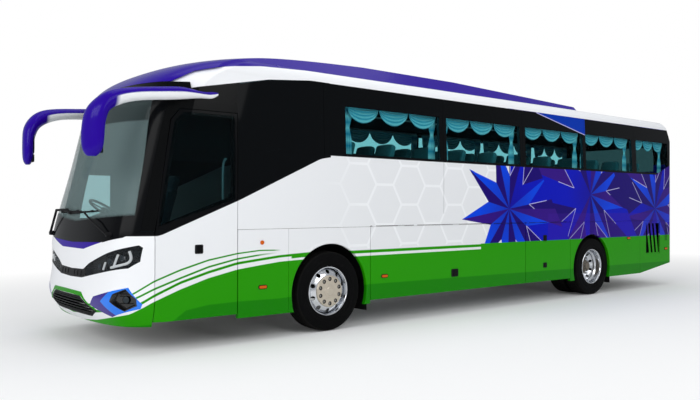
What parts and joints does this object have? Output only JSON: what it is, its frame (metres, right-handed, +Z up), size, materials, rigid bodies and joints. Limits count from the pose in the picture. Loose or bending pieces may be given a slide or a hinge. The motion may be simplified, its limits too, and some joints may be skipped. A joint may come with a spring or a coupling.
{
  "type": "coach bus",
  "caption": "Single-deck coach with steered front wheels, twin rear wheels, swing-out passenger door, lifting luggage doors and a hollow seated cabin.",
  "frame": {"origin": "on the road under the middle of the whole box", "axes": "+X forward, +Y to the left side with the passenger door, +Z up"},
  "size_m": [11.98, 2.5927, 3.4499],
  "materials": {
    "body_paint": "gloss",
    "roof_paint": "gloss",
    "fairing_paint": "gloss",
    "pod_paint": "gloss",
    "black_gloss": "gloss",
    "black_plastic": "matte",
    "window_glass": "tinted",
    "lamp_clear": "clear",
    "lamp_red": "gloss",
    "zinc_steel": "satin",
    "tyre": "matte",
    "rim": "polished",
    "chassis_paint": "satin",
    "rubber": "matte",
    "deck_ply": "satin",
    "bay_aluminium": "satin",
    "step_plastic": "matte",
    "engine_iron": "matte",
    "seat_fabric": "woven",
    "curtain_fabric": "woven",
    "dash_plastic": "matte"
  },
  "bodies": {
    "body": {"side_wall_left": "body_paint", "side_wall_right": "body_paint", "lower_panels_left": "body_paint", "lower_panels_right": "body_paint", "side_glass_left": "window_glass", "side_glass_right": "window_glass", "side_grilles": "black_plastic", "roof": "roof_paint", "roof_fairing": "fairing_paint", "roof_air_unit": "roof_paint", "windscreen": "window_glass", "front_mask": "body_paint", "cab_frame": "black_gloss", "headlamps": "lamp_clear", "fog_pods": "pod_paint", "front_grille": "black_plastic", "rear_wall": "body_paint", "rear_window": "window_glass", "tail_lamps": "lamp_red", "rear_bumper": "body_paint", "front_axle": "chassis_paint", "rear_axle": "chassis_paint", "air_springs": "rubber", "chassis_frame": "chassis_paint", "floor_deck": "deck_ply", "luggage_bay": "bay_aluminium", "wheel_housings": "black_plastic", "cab_floor": "deck_ply", "entry_steps": "step_plastic", "engine_block": "engine_iron", "side_tanks": "bay_aluminium", "passenger_seats": "seat_fabric", "driver_seat": "seat_fabric", "dashboard": "dash_plastic", "steering_wheel": "dash_plastic", "curtain_rails": "bay_aluminium", "curtains": "curtain_fabric", "mirror_left": "fairing_paint", "mirror_right": "fairing_paint"},
    "knuckle_left": {"knuckle_left": "chassis_paint"},
    "knuckle_right": {"knuckle_right": "chassis_paint"},
    "tie_rod": {"tie_rod": "chassis_paint"},
    "front_wheel_left": {"front_tyre_left": "tyre", "front_wheel_left": "rim"},
    "front_wheel_right": {"front_tyre_right": "tyre", "front_wheel_right": "rim"},
    "rear_wheels_left": {"rear_tyres_left": "tyre", "rear_wheels_left": "rim"},
    "rear_wheels_right": {"rear_tyres_right": "tyre", "rear_wheels_right": "rim"},
    "door_arm": {"door_arm": "zinc_steel"},
    "passenger_door": {"passenger_door": "body_paint", "door_glass": "window_glass"},
    "luggage_door_left": {"luggage_door_left": "body_paint"},
    "luggage_door_right": {"luggage_door_right": "body_paint"},
    "service_flap_left": {"service_flap_left": "body_paint"},
    "service_flap_right": {"service_flap_right": "body_paint"},
    "engine_lid": {"engine_lid": "body_paint"}
  },
  "joints": [
    {"name": "steer_left", "type": "hinge", "parent": "body", "child": "knuckle_left", "pos_m": [2.965, 0.86, 0.5], "axis": [0, 0, 1], "range_deg": [-40, 40]},
    {"name": "steer_right", "type": "hinge", "parent": "body", "child": "knuckle_right", "pos_m": [2.965, -0.86, 0.5], "axis": [0, 0, 1], "range_deg": [-40, 40]},
    {"name": "tie_rod_end", "type": "hinge", "parent": "knuckle_left", "child": "tie_rod", "pos_m": [2.765, 0.86, 0.36], "axis": [0, 0, 1], "range_deg": [-40, 40]},
    {"name": "spin_front_left", "type": "hinge", "parent": "knuckle_left", "child": "front_wheel_left", "pos_m": [2.965, 1.085, 0.5], "axis": [0, 1, 0], "continuous": true},
    {"name": "spin_front_right", "type": "hinge", "parent": "knuckle_right", "child": "front_wheel_right", "pos_m": [2.965, -1.085, 0.5], "axis": [0, 1, 0], "continuous": true},
    {"name": "spin_rear_left", "type": "hinge", "parent": "body", "child": "rear_wheels_left", "pos_m": [-3.015, 0.92, 0.5], "axis": [0, 1, 0], "continuous": true},
    {"name": "spin_rear_right", "type": "hinge", "parent": "body", "child": "rear_wheels_right", "pos_m": [-3.015, -0.92, 0.5], "axis": [0, 1, 0], "continuous": true},
    {"name": "door_swing", "type": "hinge", "parent": "body", "child": "door_arm", "pos_m": [5.235, 1.095, 1], "axis": [0, 0, -1], "range_deg": [0, 140]},
    {"name": "door_lead", "type": "hinge", "parent": "door_arm", "child": "passenger_door", "pos_m": [4.675, 1.095, 1], "axis": [0, 0, 1], "range_deg": [0, 140]},
    {"name": "luggage_lid_left", "type": "hinge", "parent": "body", "child": "luggage_door_left", "pos_m": [0.6375, 1.25, 1.3], "axis": [1, 0, 0], "range_deg": [0, 85]},
    {"name": "luggage_lid_right", "type": "hinge", "parent": "body", "child": "luggage_door_right", "pos_m": [0.6375, -1.25, 1.3], "axis": [-1, 0, 0], "range_deg": [0, 85]},
    {"name": "service_lid_left", "type": "hinge", "parent": "body", "child": "service_flap_left", "pos_m": [-1.635, 1.25, 1.3], "axis": [1, 0, 0], "range_deg": [0, 85]},
    {"name": "service_lid_right", "type": "hinge", "parent": "body", "child": "service_flap_right", "pos_m": [-1.635, -1.25, 1.3], "axis": [-1, 0, 0], "range_deg": [0, 85]},
    {"name": "engine_lid_lift", "type": "hinge", "parent": "body", "child": "engine_lid", "pos_m": [-5.985, 0, 1.44], "axis": [0, 1, 0], "range_deg": [0, 80]}
  ],
  "couplings": [
    {"joint": "steer_right", "follows": "steer_left", "ratio": 1},
    {"joint": "tie_rod_end", "follows": "steer_left", "ratio": -1},
    {"joint": "door_lead", "follows": "door_swing", "ratio": 1}
  ]
}
